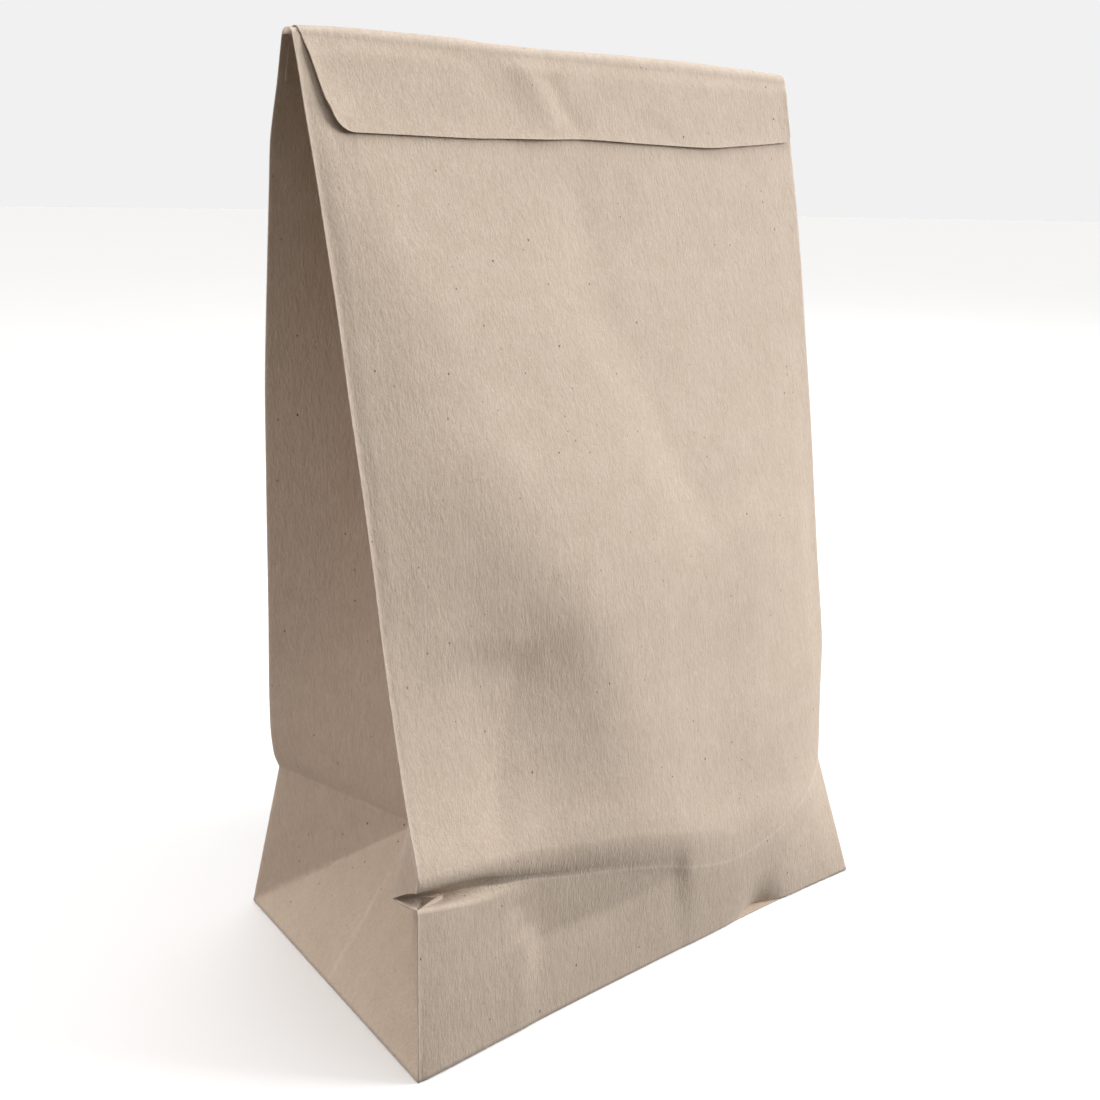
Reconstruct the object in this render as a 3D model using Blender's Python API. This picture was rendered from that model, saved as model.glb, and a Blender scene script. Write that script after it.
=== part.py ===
"""Brown paper lunch bag: a gusseted bag with a square folded bottom, closed by a glued flap.

The bag stands on its bottom. +Z is up, the front faces -Y, and the origin is the middle of
the bottom. All lengths are in metres. The bag is folded from one blank of paper and closed,
so it is one body. It is built row by row as the flat blank is creased: each row is a ring of
points round the front panel, the right gusset, the back panel and the left gusset.
"""

import math

import bmesh
import bpy
from mathutils import Vector

# The bag as a whole
WIDTH = 0.152
DEPTH = 0.091
RIDGE_HEIGHT = 0.2312
RIDGE_FRONT = 0.0009
RIDGE_BACK = 0.0024
RIDGE_ROUND = 0.0012
RIDGE_BOW = 0.001

# Bottom's crease. It is at half the depth, so that the bottom folds flat on the panel.
CREASE_HEIGHT = DEPTH / 2

# Gussets: how far the bottom's side triangle tips inwards, and where the slot ends
GUSSET_SINK = 0.027
SLOT_BELOW_RIDGE = 0.0025

# Front left fold: the crease pinches it into a spur, between a lower and an upper lip.
# Each is across, towards the back, and up from the crease height.
SPUR_LOWER_LIP = Vector((0.0007, 0.0, -0.0005))
SPUR_TIP = Vector((0.0, 0.0098, -0.0022))
SPUR_UPPER_LIP = Vector((0.0010, 0.0, 0.0062))

# The other folds step inwards at the crease: across, towards mid-depth, and down. Above
# the crease they stand up again within the fade's length.
FRONT_RIGHT_PINCH = Vector((0.0065, 0.0086, 0.0092))
BACK_LEFT_PINCH = Vector((0.0060, 0.0093, 0.0013))
BACK_RIGHT_PINCH = Vector((0.0045, 0.0075, 0.0020))
FRONT_RIGHT_FADE = 0.036
BACK_LEFT_FADE = 0.026
BACK_RIGHT_FADE = 0.030

# Shoulders: the bend below the band that was pressed when the flap was stuck down
SHOULDER_DROP = 0.0225
FRONT_LEFT_SHOULDER = 0.0082
FRONT_RIGHT_SHOULDER = 0.0054
BACK_SHOULDER = 0.0110

# Bow of each fold between the crease and the shoulder, as (height, skew). A skew above 1
# puts the highest place nearer the shoulder.
FRONT_LEFT_BOW = (0.0005, 1.0)
FRONT_RIGHT_BOW = (0.0013, 1.6)
BACK_LEFT_BOW = (-0.0012, 0.6)
BACK_RIGHT_BOW = (0.0005, 1.0)
BACK_PILLOW = 0.003

# Front crease, as (share of the width, share of the crease height), between the two folds
FRONT_CREASE = (
    (0.05, 1.03),
    (0.27, 0.88),
    (0.44, 0.74),
    (0.56, 0.57),
    (0.70, 0.47),
    (0.89, 0.58),
)
VALLEY_DEPTH = 0.0042
VALLEY_REACH = 0.22
SPUR_REACH = 0.025
LIP_AT_SPUR = 0.0015
LIP = 0.006
LIP_GROWTH = 0.15

# Front panel: where it starts to turn back to the right fold, and its soft buckle,
# which runs from the top left corner down to the crease
TURN_BACK_AT = 0.72
BUCKLE_HEIGHT = 0.0022
BUCKLE_FOOT = 0.5

# Front base edge: it bows in a little and has one dent
BASE_BOW = 0.0009
BASE_DENT = 0.0034
BASE_DENT_AT = 0.745
BASE_DENT_WIDTH = 0.045

# Flap: a tongue of the back panel, folded over the ridge and glued to the front
FLAP_LEFT_LENGTH = 0.0216
FLAP_RIGHT_LENGTH = 0.0185
FLAP_LEFT_INSET = 0.0016
FLAP_RIGHT_INSET = 0.0004
FLAP_TAPER = 0.0027
FLAP_LEFT_RADIUS = 0.0075
FLAP_RIGHT_RADIUS = 0.0030
FLAP_STANDOFF = 0.0006
FLAP_EMBED = 0.0007
FLAP_OVER_RIDGE = 0.0001

# Bottom: two trapezium flaps folded over the side triangles, one step to a layer
BASE_STEP = 0.00015
BASE_OVERLAP = 0.010
BASE_EDGE_INSET = 0.0001
BASE_EMBED = 0.0012

# Grid of the folded sheet
FRONT_COLUMNS = 28
HALF_SIDE_COLUMNS = 8
PANEL_ROWS = 20
BAND_ROWS = 3
FLAP_COLUMNS = 24
FLAP_ROWS = 5
FLAP_CORNER_ROWS = 6

PAPER_COLOR = (0.47, 0.36, 0.26, 1.0)
PAPER_ROUGHNESS = 0.85

LEFT, RIGHT = -1, 1
FRONT, BACK = -1, 1
CREASE_ROW = HALF_SIDE_COLUMNS
LIP_ROW = CREASE_ROW + 1
SHOULDER_ROW = LIP_ROW + PANEL_ROWS
TOP_ROW = SHOULDER_ROW + BAND_ROWS
BASE_HEIGHT = 2 * BASE_STEP


def mix(a, b, t):
    return a + (b - a) * t


def smooth(t):
    t = min(1.0, max(0.0, t))
    return t * t * (3 - 2 * t)


def clear_scene():
    for obj in list(bpy.data.objects):
        bpy.data.objects.remove(obj, do_unlink=True)


def paper_material():
    material = bpy.data.materials.new("brown_kraft_paper")
    material.use_nodes = True
    shader = material.node_tree.nodes["Principled BSDF"]
    shader.inputs["Base Color"].default_value = PAPER_COLOR
    shader.inputs["Roughness"].default_value = PAPER_ROUGHNESS
    shader.inputs["Metallic"].default_value = 0.0
    return material


def object_from(name, fill_mesh):
    bm = bmesh.new()
    fill_mesh(bm)
    bmesh.ops.recalc_face_normals(bm, faces=bm.faces)
    mesh = bpy.data.meshes.new(name)
    bm.to_mesh(mesh)
    bm.free()
    obj = bpy.data.objects.new(name, mesh)
    bpy.context.scene.collection.objects.link(obj)
    return obj


class Fold:
    """One of the four vertical folds: the bottom corner, the crease, the shoulder, the ridge."""

    def __init__(self, side, facing, shoulder_depth, bow, fade, lower, start):
        self.facing = facing
        self.bow = bow
        self.fade = fade
        self.lower = lower
        self.start = start
        self.shoulder = Vector((side * WIDTH / 2, facing * shoulder_depth, 0.0))
        self.shoulder.z = RIDGE_HEIGHT - SHOULDER_DROP
        depth = RIDGE_FRONT if facing == FRONT else RIDGE_BACK
        self.top = Vector((side * WIDTH / 2, facing * depth, RIDGE_HEIGHT - RIDGE_ROUND))
        self.slot_share = 1 - SLOT_BELOW_RIDGE / (self.top.z - self.shoulder.z)

    def panel(self, t):
        """From the crease, t = 0, to the shoulder, t = 1."""
        point = mix(self.start, self.shoulder, t)
        stretch = self.shoulder.z - self.start.z
        away = self.shoulder.x - self.start.x
        point.x = self.shoulder.x - away * math.exp(-t * stretch / self.fade)
        height, skew = self.bow
        point.y += self.facing * height * math.sin(math.pi * t**skew)
        return point

    def band(self, t):
        """From the shoulder, t = 0, to the ridge's edge, t = 1."""
        return mix(self.shoulder, self.top, t)

    def at(self, row):
        if row <= CREASE_ROW:
            return self.lower[row]
        if row <= SHOULDER_ROW:
            first = CREASE_ROW if self.start is self.lower[-1] else LIP_ROW
            return self.panel((row - first) / (SHOULDER_ROW - first))
        return self.band((row - SHOULDER_ROW) / BAND_ROWS * self.slot_share)


def pinched_fold(side, facing, pinch, shoulder_depth, bow, fade):
    """A fold that leans inwards to the crease and stands up again above it."""
    corner = Vector((side * WIDTH / 2, facing * DEPTH / 2, BASE_HEIGHT))
    step = Vector((side * (WIDTH / 2 - pinch.x), facing * (DEPTH / 2 - pinch.y), 0.0))
    step.z = CREASE_HEIGHT - pinch.z
    lower = [mix(corner, step, row / CREASE_ROW) for row in range(CREASE_ROW)]
    lower.append(step)
    return Fold(side, facing, shoulder_depth, bow, fade, lower, step)


def spurred_fold():
    """The front left fold, which stands up straight and is pinched into a spur."""
    corner = Vector((-WIDTH / 2, -DEPTH / 2, BASE_HEIGHT))
    crease = Vector((-WIDTH / 2, -DEPTH / 2, CREASE_HEIGHT))
    lip = crease + SPUR_LOWER_LIP
    lower = [mix(corner, lip, row / (CREASE_ROW - 1)) for row in range(CREASE_ROW)]
    lower.append(crease + SPUR_TIP)
    start = crease + SPUR_UPPER_LIP
    fade = SPUR_UPPER_LIP.z
    return Fold(LEFT, FRONT, FRONT_LEFT_SHOULDER, FRONT_LEFT_BOW, fade, lower, start)


def gusset_fold(front, back, side):
    """Points of the side's middle fold: half the depth from both edges of the side."""
    base = Vector((side * WIDTH / 2, 0.0, BASE_HEIGHT))
    meeting = Vector((side * (WIDTH / 2 - GUSSET_SINK), 0.0, 0.0))
    meeting.z = math.sqrt(CREASE_HEIGHT**2 - GUSSET_SINK**2)
    points = [mix(base, meeting, row / CREASE_ROW) for row in range(LIP_ROW)]
    for row in range(LIP_ROW, TOP_ROW + 1):
        middle = mix(front.at(row), back.at(row), 0.5)
        half_gap = (back.at(row).y - front.at(row).y) / 2
        sink = math.sqrt(max(CREASE_HEIGHT**2 - half_gap**2, GUSSET_SINK**2))
        middle.x = side * (WIDTH / 2 - sink)
        points.append(middle)
    return points


def half_side(edge, centre, row):
    """Points across half a side, from its edge fold to its middle fold, in one row.

    Below the crease a 45 degree fold from the bottom corner parts the triangle that stands
    on the bottom's edge from the one that hangs on the panel's edge.
    """
    corner, crease_end = edge.lower[0], edge.lower[CREASE_ROW]
    base_middle, meeting = centre[0], centre[CREASE_ROW]
    up = row / CREASE_ROW
    points = []
    for column in range(HALF_SIDE_COLUMNS + 1):
        across = column / HALF_SIDE_COLUMNS
        if row > CREASE_ROW:
            point = mix(edge.at(row), centre[row], across)
        elif column >= row:
            point = corner + (base_middle - corner) * across + (meeting - base_middle) * up
        else:
            point = corner + (crease_end - corner) * up + (meeting - crease_end) * across
            straight = mix(corner, crease_end, up)
            point = point + (edge.at(row) - straight) * (1 - column / row) ** 2
        points.append(point)
    return points


def crease_height(left, right, across):
    """Height of the front crease: a smooth line through its named points and both folds."""
    line = [(0.0, left.lower[-1].z)]
    line += [(share, height * CREASE_HEIGHT) for share, height in FRONT_CREASE]
    line.append((1.0, right.lower[-1].z))
    index = max(i for i in range(len(line) - 1) if line[i][0] <= across or i == 0)
    (a, low), (b, high) = line[index], line[index + 1]
    before = line[max(index - 1, 0)]
    after = line[min(index + 2, len(line) - 1)]
    slope_in = (high - before[1]) / (b - before[0])
    slope_out = (after[1] - low) / (after[0] - a)
    t = (across - a) / (b - a)
    start = low * (1 + 2 * t) * (1 - t) ** 2 + slope_in * (b - a) * t * (1 - t) ** 2
    end = high * t * t * (3 - 2 * t) + slope_out * (b - a) * t * t * (t - 1)
    return start + end


def turn_back(right, across):
    """How far the panel at the crease lies behind the base edge, towards the right fold."""
    share = max(0.0, (across - TURN_BACK_AT) / (1 - TURN_BACK_AT))
    return (right.lower[-1].y + DEPTH / 2) * share**2


def lip_point(left, right, row, across):
    """A point of the crease's valley, or of the lip just below or above it."""
    upwards = row - CREASE_ROW
    point = mix(left.at(row), right.lower[-1], across)
    near_spur = math.exp(-across / SPUR_REACH)
    lip = mix(LIP, LIP_AT_SPUR, math.exp(-across / LIP_GROWTH))
    from_crease = upwards * lip * (1 - across**4)
    along = crease_height(left, right, across) + from_crease
    point.z = mix(along, left.at(row).z, near_spur)
    point.y = -DEPTH / 2 + turn_back(right, across)
    if upwards == 0:
        fade = math.exp(-across / VALLEY_REACH) * (1 - across)
        valley = VALLEY_DEPTH * fade * (1 - near_spur)
        point.y += valley + (left.at(row).y + DEPTH / 2) * near_spur
    return point


def base_edge_point(left, right, across):
    """A point of the front base edge, which bows in a little and has one dent."""
    point = mix(left.at(0), right.at(0), across)
    dent = math.exp(-(((across - BASE_DENT_AT) / BASE_DENT_WIDTH) ** 2))
    point.y += BASE_BOW * math.sin(math.pi * across) + BASE_DENT * dent
    return point


def buckle(across, up):
    """Height of the soft ridge from the top left corner to the middle of the crease."""
    ridge_at = BUCKLE_FOOT * (1 - up)
    reach = ridge_at if across < ridge_at else 1 - ridge_at
    flank = smooth(1 - abs(across - ridge_at) / max(reach, ridge_at, 0.1))
    edges = smooth(across / 0.1) * smooth((1 - across) / 0.1)
    return BUCKLE_HEIGHT * math.sin(math.pi * up) * flank * edges


def upper_panel_point(left, right, across, t):
    """The front panel between the crease's upper lip, t = 0, and the shoulder, t = 1."""
    first_row = right.panel(1 / (PANEL_ROWS + 1))
    right_t = mix(1 / (PANEL_ROWS + 1), 1.0, t)
    point = mix(left.panel(t), right.panel(right_t), across)
    flat = mix(left.start, first_row, across)
    bent = lip_point(left, right, LIP_ROW, across)
    bent.x = flat.x
    point += (bent - flat) * (1 - t) * smooth(across / 0.02) * smooth((1 - across) / 0.05)
    point.y -= buckle(across, t)
    return point


def front_point(left, right, row, across):
    if row < CREASE_ROW - 1:
        lip = lip_point(left, right, CREASE_ROW - 1, across)
        if across == 0 or across == 1:
            return mix(left.at(row), right.at(row), across)
        lip.y = mix(lip.y, right.at(CREASE_ROW - 1).y, across**6)
        return mix(base_edge_point(left, right, across), lip, row / (CREASE_ROW - 1))
    if across == 0:
        return left.at(row)
    if across == 1:
        return right.at(row)
    if row <= CREASE_ROW:
        return lip_point(left, right, row, across)
    if row <= SHOULDER_ROW:
        return upper_panel_point(left, right, across, (row - LIP_ROW) / PANEL_ROWS)
    return mix(left.at(row), right.at(row), across)


def back_point(left, right, row, across):
    """One point of the back panel, which swells a little between its folds."""
    point = mix(left.at(row), right.at(row), across)
    swell = math.sin(math.pi * across) * math.sin(math.pi * row / TOP_ROW)
    point.y += BACK_PILLOW * swell
    return point


def bag_rows(front_left, front_right, back_right, back_left):
    """Rings of points round the bag, one for each row: front, right, back, left."""
    right_centre = gusset_fold(front_right, back_right, RIGHT)
    left_centre = gusset_fold(front_left, back_left, LEFT)
    shares = [column / FRONT_COLUMNS for column in range(FRONT_COLUMNS + 1)]
    rows = []
    for row in range(TOP_ROW + 1):
        front = [front_point(front_left, front_right, row, t) for t in shares]
        back = [back_point(back_left, back_right, row, t) for t in shares]
        right_side = half_side(front_right, right_centre, row)
        right_side += half_side(back_right, right_centre, row)[-2::-1]
        left_side = half_side(back_left, left_centre, row)
        left_side += half_side(front_left, left_centre, row)[-2::-1]
        rows.append(front[:-1] + right_side[:-1] + back[:0:-1] + left_side[:-1])
    return rows


def cut_of(row, column):
    """Which way a quad of a lower side is cut, so that the 45 degree folds are true edges."""
    for first in (FRONT_COLUMNS, 2 * (FRONT_COLUMNS + HALF_SIDE_COLUMNS)):
        across = column - first
        if row < CREASE_ROW and 0 <= across < 2 * HALF_SIDE_COLUMNS:
            return "rising" if across < HALF_SIDE_COLUMNS else "falling"
    return "none"


def add_shell(bm, rows):
    """Faces between the rings, and the bottom. Returns the top ring."""
    rings = [[bm.verts.new(point) for point in ring] for ring in rows]
    count = len(rings[0])
    for row in range(TOP_ROW):
        for column in range(count):
            beside = (column + 1) % count
            a, b = rings[row][column], rings[row][beside]
            c, d = rings[row + 1][beside], rings[row + 1][column]
            cut = cut_of(row, column)
            if cut == "rising":
                bm.faces.new((a, b, c))
                bm.faces.new((a, c, d))
            elif cut == "falling":
                bm.faces.new((a, b, d))
                bm.faces.new((b, c, d))
            else:
                bm.faces.new((a, b, c, d))
    bm.faces.new(rings[0][::-1])
    return rings[-1]


def add_slot_roof(bm, ring, first):
    """Closes the top of a gusset's slot, from its mouth to its middle fold."""
    last = first + 2 * HALF_SIDE_COLUMNS
    for step in range(HALF_SIDE_COLUMNS):
        near, inner = ring[first + step], ring[first + step + 1]
        far, far_inner = ring[(last - step) % len(ring)], ring[last - step - 1]
        corners = (near, inner, far) if inner is far_inner else (near, inner, far_inner, far)
        bm.faces.new(corners)


def ridge_bow(x):
    """How far the ridge rises above its ends."""
    return RIDGE_BOW * math.cos(math.pi * x / WIDTH)


def add_ridge(bm, ring):
    """The solid top above the slots, where all the layers lie pressed together."""
    back_first = FRONT_COLUMNS + 2 * HALF_SIDE_COLUMNS
    front = ring[: FRONT_COLUMNS + 1]
    back = ring[back_first : back_first + FRONT_COLUMNS + 1][::-1]
    levels = [front, [], [], [], back]
    for near in front:
        x = near.co.x
        bow = ridge_bow(x)
        edge = RIDGE_HEIGHT - RIDGE_ROUND + bow
        levels[1].append(bm.verts.new((x, -RIDGE_FRONT, edge)))
        levels[2].append(bm.verts.new((x, 0.0, RIDGE_HEIGHT + bow)))
        levels[3].append(bm.verts.new((x, RIDGE_BACK, edge)))
    for lower, upper in zip(levels, levels[1:]):
        for column in range(FRONT_COLUMNS):
            beside = column + 1
            bm.faces.new((lower[column], lower[beside], upper[beside], upper[column]))
    for end in (0, -1):
        bm.faces.new([level[end] for level in levels])


def fill_bag(bm, folds):
    ring = add_shell(bm, bag_rows(*folds))
    add_slot_roof(bm, ring, FRONT_COLUMNS)
    add_slot_roof(bm, ring, 2 * (FRONT_COLUMNS + HALF_SIDE_COLUMNS))
    add_ridge(bm, ring)


def corner_inset(share, length, radius):
    """How far a rounded lower corner draws the flap's edge in, at a share of its length."""
    into_corner = max(0.0, length * share - (length - radius))
    return radius - math.sqrt(max(0.0, radius**2 - into_corner**2))


def flap_shares():
    """Shares of the flap's length for its rows, closer together round its lower corners."""
    straight = 1 - FLAP_LEFT_RADIUS / FLAP_LEFT_LENGTH
    shares = [straight * row / FLAP_ROWS for row in range(FLAP_ROWS)]
    for step in range(FLAP_CORNER_ROWS + 1):
        turn = math.pi / 2 * step / FLAP_CORNER_ROWS
        shares.append(mix(straight, 1.0, math.sin(turn)))
    return shares


def flap_edge(fold, length, share, inset):
    """A point of the flap's left or right edge, on the front panel."""
    slope = fold.shoulder - fold.top
    point = fold.top + slope * (length * share / slope.length)
    point.x += inset
    return point


def flap_row(left, right, share, proud):
    """One row of points across the flap, raised by proud from the front panel."""
    taper = FLAP_TAPER * smooth(share / 0.8)
    left_inset = FLAP_LEFT_INSET + taper
    left_inset += corner_inset(share, FLAP_LEFT_LENGTH, FLAP_LEFT_RADIUS)
    right_inset = FLAP_RIGHT_INSET + corner_inset(share, FLAP_RIGHT_LENGTH, FLAP_RIGHT_RADIUS)
    first = flap_edge(left, FLAP_LEFT_LENGTH, share, left_inset)
    last = flap_edge(right, FLAP_RIGHT_LENGTH, share, -right_inset)
    slope = left.shoulder - left.top
    outwards = Vector((0.0, slope.z, -slope.y)).normalized() * proud
    points = []
    for column in range(FLAP_COLUMNS + 1):
        point = mix(first, last, column / FLAP_COLUMNS) + outwards
        point.z += ridge_bow(point.x) * (1 - share)
        points.append(point)
    return points


def flap_root(row, y, z):
    """The flap's first row, moved to a place on or in the ridge."""
    return [Vector((point.x, y, z + ridge_bow(point.x))) for point in row]


def fill_flap(bm, left, right):
    """The flap's slab, from the ridge down the front, proud by its own thickness."""
    shares = flap_shares()
    outer = [flap_row(left, right, share, FLAP_STANDOFF) for share in shares]
    inner = [flap_row(left, right, share, -FLAP_EMBED) for share in shares]
    over = flap_root(outer[0], 0.0, RIDGE_HEIGHT + FLAP_OVER_RIDGE)
    inside = flap_root(outer[0], FLAP_EMBED / 2, RIDGE_HEIGHT - FLAP_EMBED)
    rows = [inside, over] + outer + inner[::-1]
    grid = [[bm.verts.new(point) for point in row] for row in rows]
    for i, row in enumerate(grid):
        beside = grid[(i + 1) % len(grid)]
        for column in range(FLAP_COLUMNS):
            bm.faces.new((row[column], row[column + 1], beside[column + 1], beside[column]))
    count = len(shares)
    for end in (0, -1):
        bm.faces.new([row[end] for row in (grid[0], grid[1], grid[2], grid[-1])])
        for i in range(count - 1):
            near, far = grid[2 + i], grid[3 + i]
            bm.faces.new((near[end], far[end], grid[-2 - i][end], grid[-1 - i][end]))


def base_flap_outline(left, right, facing, overlap):
    """A bottom flap's outline: the base edge, then 45 degree ends to its free edge."""
    shares = [column / FRONT_COLUMNS for column in range(FRONT_COLUMNS + 1)]
    if facing == FRONT:
        edge = [base_edge_point(left, right, t) for t in shares]
    else:
        edge = [mix(left.at(0), right.at(0), t) for t in shares]
    outline = []
    for point in edge:
        x = max(-WIDTH / 2 + BASE_EDGE_INSET, min(WIDTH / 2 - BASE_EDGE_INSET, point.x))
        outline.append((x, point.y - facing * BASE_EDGE_INSET))
    reach = DEPTH / 2 + overlap
    for side in (RIGHT, LEFT):
        outline.append((side * (WIDTH / 2 - reach), -facing * overlap))
    return outline


def fill_base_flap(bm, outline, bottom):
    """A bottom flap as a thin plate, let into the bag from below."""
    lower = [bm.verts.new((x, y, bottom)) for x, y in outline]
    bm.faces.new(lower)
    top = BASE_HEIGHT + BASE_EMBED
    upper = [bm.verts.new((x, y, top)) for x, y in outline]
    bm.faces.new(upper[::-1])
    for i in range(len(outline)):
        j = (i + 1) % len(outline)
        bm.faces.new((lower[i], lower[j], upper[j], upper[i]))


def join(body, extra):
    """Makes extra one body with body."""
    union = body.modifiers.new("with_" + extra.name, "BOOLEAN")
    union.operation = "UNION"
    union.object = extra
    extra.hide_render = True
    extra.display_type = "WIRE"


def main():
    clear_scene()
    front_left = spurred_fold()
    front_right = pinched_fold(
        RIGHT, FRONT, FRONT_RIGHT_PINCH, FRONT_RIGHT_SHOULDER, FRONT_RIGHT_BOW, FRONT_RIGHT_FADE
    )
    back_right = pinched_fold(
        RIGHT, BACK, BACK_RIGHT_PINCH, BACK_SHOULDER, BACK_RIGHT_BOW, BACK_RIGHT_FADE
    )
    back_left = pinched_fold(
        LEFT, BACK, BACK_LEFT_PINCH, BACK_SHOULDER, BACK_LEFT_BOW, BACK_LEFT_FADE
    )
    folds = (front_left, front_right, back_right, back_left)
    bag = object_from("paper_bag", lambda bm: fill_bag(bm, folds))
    bag.data.materials.append(paper_material())

    rear = base_flap_outline(back_left, back_right, BACK, BASE_OVERLAP)
    front = base_flap_outline(front_left, front_right, FRONT, BASE_OVERLAP)
    parts = (
        object_from("top_flap", lambda bm: fill_flap(bm, front_left, front_right)),
        object_from("rear_base_flap", lambda bm: fill_base_flap(bm, rear, BASE_STEP)),
        object_from("front_base_flap", lambda bm: fill_base_flap(bm, front, 0.0)),
    )
    for part in parts:
        join(bag, part)


main()
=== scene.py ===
"""Looks of the brown paper lunch bag: the creased sheet, its glued flap, the floor and the light.

The bag is built as a fine grid that follows the same folds as the CAD solid. Tables of heights
and depths are in millimetres; everything that reaches Blender is in metres.
"""

import math

import bpy
import numpy as np
from mathutils import Matrix, Vector


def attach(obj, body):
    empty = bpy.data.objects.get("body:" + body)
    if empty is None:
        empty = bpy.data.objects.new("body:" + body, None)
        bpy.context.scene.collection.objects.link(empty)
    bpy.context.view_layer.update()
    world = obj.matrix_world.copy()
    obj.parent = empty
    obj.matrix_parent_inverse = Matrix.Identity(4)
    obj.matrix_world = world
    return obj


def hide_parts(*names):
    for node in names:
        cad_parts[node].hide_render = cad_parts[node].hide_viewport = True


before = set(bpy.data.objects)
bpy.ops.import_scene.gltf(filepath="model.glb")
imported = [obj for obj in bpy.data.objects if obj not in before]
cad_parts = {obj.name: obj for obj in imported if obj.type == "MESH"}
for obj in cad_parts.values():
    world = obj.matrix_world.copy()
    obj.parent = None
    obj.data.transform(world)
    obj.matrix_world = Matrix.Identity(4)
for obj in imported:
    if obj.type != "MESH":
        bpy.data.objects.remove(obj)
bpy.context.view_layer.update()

HALF_WIDTH = 76.0
HALF_DEPTH = 45.5
GUSSET_SINK = 28.0
PAPER = 0.22

# The four vertical folds, from the crease at the bottom of the panels up to the ridge:
# (height, x, y). Below the crease each goes down to its corner.
FRONT_LEFT = (
    (52.8, -76.0, -47.4),
    (57.5, -76.0, -46.1),
    (62.2, -76.0, -44.4),
    (70.6, -76.0, -41.7),
    (87.7, -76.0, -37.3),
    (104.9, -76.0, -33.3),
    (121.9, -76.0, -29.9),
    (138.7, -76.0, -26.0),
    (155.2, -76.0, -21.9),
    (171.6, -76.0, -18.2),
    (187.8, -76.0, -13.9),
    (203.9, -76.0, -9.5),
    (211.9, -76.0, -7.0),
    (225.2, -76.0, -3.1),
    (229.4, -76.0, -1.7),
)
FRONT_RIGHT = (
    (36.0, 69.7, -36.5),
    (54.0, 72.3, -33.3),
    (72.0, 75.1, -30.0),
    (88.1, 76.0, -26.6),
    (111.9, 76.0, -22.8),
    (135.3, 76.0, -19.2),
    (158.2, 76.0, -15.2),
    (180.7, 76.0, -11.3),
    (197.4, 76.0, -8.0),
    (213.9, 76.0, -4.3),
    (229.4, 76.0, -1.1),
)
BACK_LEFT = (
    (44.5, -70.0, 36.5),
    (50.0, -72.0, 35.2),
    (60.4, -73.3, 33.5),
    (96.2, -74.5, 28.0),
    (129.0, -75.4, 23.5),
    (159.0, -76.0, 19.3),
    (182.3, -76.0, 15.5),
    (199.9, -76.0, 12.5),
    (208.4, -76.0, 11.0),
    (212.5, -76.0, 9.5),
    (220.5, -76.0, 6.1),
    (226.4, -76.0, 4.0),
    (229.4, -76.0, 2.9),
)
BACK_RIGHT = (
    (43.5, 71.5, 38.0),
    (52.0, 73.2, 36.2),
    (70.0, 74.8, 32.8),
    (100.0, 75.6, 27.8),
    (140.0, 76.0, 21.4),
    (180.0, 76.0, 15.2),
    (208.0, 76.0, 10.6),
    (220.0, 76.0, 6.3),
    (229.4, 76.0, 2.9),
)

# The spur on the front left fold, from its lower lip to its nose, and the crease that runs
# up from it across the gusset
LOWER_LIP = (-76.0, -46.4, 45.8)
SPUR_TIP = (-76.0, -35.7, 43.3)
UPPER_BEND = (-76.0, -46.4, 50.0)
NOSE = (-76.0, -47.4, 52.8)
SPUR_CREASE = ((43.3, -35.7), (48.1, -36.4), (51.7, -37.9), (55.4, -39.7), (58.7, -41.3), (64.3, -43.6))

# Lines across the front panel, as (x, height) and (x, depth): the lower lip, the valley of
# the crease, the edge of the upper lip, and the panel just above it
LOWER_Z = (
    (-76, 45.8), (-68, 43.6), (-60, 41.5), (-52, 40.1), (-45, 39.1), (-36, 36.7), (-20, 33.0),
    (-10, 30.2), (0, 27.0), (8.5, 24.0), (27.9, 19.0), (42, 20.4), (58.4, 25.6), (70.3, 32.4),
)
LOWER_Y = (
    (-76, -46.4), (-68, -46.1), (-60, -45.6), (-52, -45.2), (-45, -45.0), (-36, -45.4),
    (-20, -45.9), (0, -46.1), (8.5, -45.9), (27.9, -45.1), (45, -44.0), (60, -41.5), (70.3, -37.4),
)
VALLEY_Z = (
    (-76, 43.3), (-70, 43.1), (-64, 43.2), (-60, 43.2), (-52, 42.0), (-45, 40.9), (-36, 38.5),
    (-20, 34.8), (-10, 32.0), (0, 28.8), (8.5, 25.8), (27.9, 21.6), (42, 23.0), (58.4, 28.5),
    (69.7, 36.0),
)
VALLEY_Y = (
    (-76, -35.7), (-70, -39.0), (-64, -41.4), (-60, -42.6), (-52, -44.3), (-45, -44.9),
    (-36, -45.4), (-20, -46.0), (0, -46.3), (8.5, -46.0), (27.9, -45.1), (45, -43.8),
    (60, -41.0), (69.7, -36.5),
)
LIP_Z = (
    (-76, 50.0), (-68, 48.8), (-59, 47.2), (-52, 44.9), (-45, 42.8), (-36, 40.4), (-20, 36.9),
    (-10, 34.2), (0, 31.2), (8.5, 28.4), (27.9, 24.4), (42, 26.0), (58.4, 31.5), (70.4, 41.0),
)
LIP_Y = (
    (-76, -46.4), (-68, -46.3), (-59, -46.0), (-52, -45.7), (-45, -45.7), (-36, -45.9),
    (-20, -46.3), (0, -46.5), (8.5, -46.1), (27.9, -45.0), (45, -43.5), (60, -40.4), (70.4, -35.7),
)
UPPER_Z = (
    (-76, 52.8), (-60, 50.6), (-52, 49.4), (-36, 46.6), (-10, 41.6), (8.5, 35.6),
    (27.9, 30.8), (42, 32.0), (58.4, 37.5), (70.9, 44.3),
)
UPPER_Y = (
    (-76, -47.4), (-60, -46.7), (-52, -46.4), (-36, -46.4), (-20, -46.8), (0, -46.7),
    (8.5, -46.2), (27.9, -44.6), (45, -42.4), (60, -39.0), (70.9, -35.0),
)
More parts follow.
